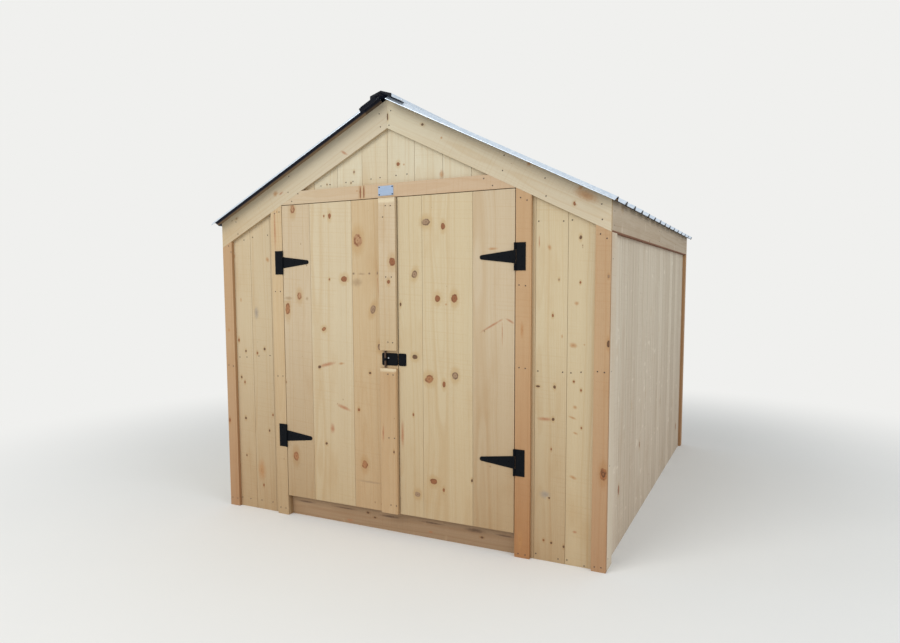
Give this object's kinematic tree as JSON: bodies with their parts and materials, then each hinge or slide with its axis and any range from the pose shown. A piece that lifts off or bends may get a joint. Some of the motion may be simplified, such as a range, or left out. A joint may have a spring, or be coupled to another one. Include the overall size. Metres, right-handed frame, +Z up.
{
  "type": "storage shed",
  "caption": "Board-clad wooden storage shed with a ribbed metal gable roof, a vented ridge cap and a pair of outward opening doors on T-hinges.",
  "frame": {"origin": "on the ground, under the middle of the roof's plan", "axes": "+Z up, doors on the -Y side, ridge along Y"},
  "size_m": [2.6016, 3.268, 2.5519],
  "materials": {
    "siding": "rough-sawn pine boards, unfinished",
    "trim": "planed pine boards, unfinished",
    "door_boards": "planed pine boards, unfinished",
    "framing": "sawn softwood",
    "floor": "sawn softwood, weathered brown at the sill",
    "roof_metal": "zinc-aluminium coated, satin",
    "ridge_metal": "zinc-aluminium coated, satin, with black ends",
    "hardware": "black, satin",
    "peg": "turned hardwood"
  },
  "bodies": {
    "shed": {"back_left_corner_boards": "trim", "back_left_rake_board": "trim", "back_right_corner_boards": "trim", "back_right_rake_board": "trim", "back_wall": "siding", "corner_posts": "framing", "door_head_trim": "trim", "door_lintel": "framing", "door_posts": "framing", "door_side_trims": "trim", "floor_deck": "floor", "floor_joists": "floor", "floor_rims": "floor", "front_gable": "siding", "front_left_corner_boards": "trim", "front_left_rake_board": "trim", "front_right_corner_boards": "trim", "front_right_rake_board": "trim", "front_wall_left": "siding", "front_wall_right": "siding", "hinge_plates": "hardware", "left_fascia": "trim", "left_roof_sheet": "roof_metal", "left_wall": "siding", "purlins": "framing", "rafters": "framing", "ridge_board": "framing", "ridge_cap": "ridge_metal", "right_fascia": "trim", "right_roof_sheet": "roof_metal", "right_wall": "siding", "top_plates": "framing", "wall_girts": "framing", "wall_studs": "framing", "wall_ties": "framing"},
    "left_door": {"left_door_boards": "door_boards", "left_door_braces": "door_boards", "door_astragal": "trim", "left_hinge_straps": "hardware", "latch_keeper": "hardware", "latch_peg": "peg"},
    "right_door": {"right_door_boards": "door_boards", "right_door_braces": "door_boards", "right_hinge_straps": "hardware", "latch_hasp": "hardware"}
  },
  "joints": [
    {"name": "left_door_hinge", "type": "hinge", "parent": "shed", "child": "left_door", "pos_m": [-0.768, -1.574, 1.0725], "axis": [0, 0, -1], "range_deg": [0, 165]},
    {"name": "right_door_hinge", "type": "hinge", "parent": "shed", "child": "right_door", "pos_m": [0.768, -1.574, 1.0725], "axis": [0, 0, 1], "range_deg": [0, 165]}
  ]
}
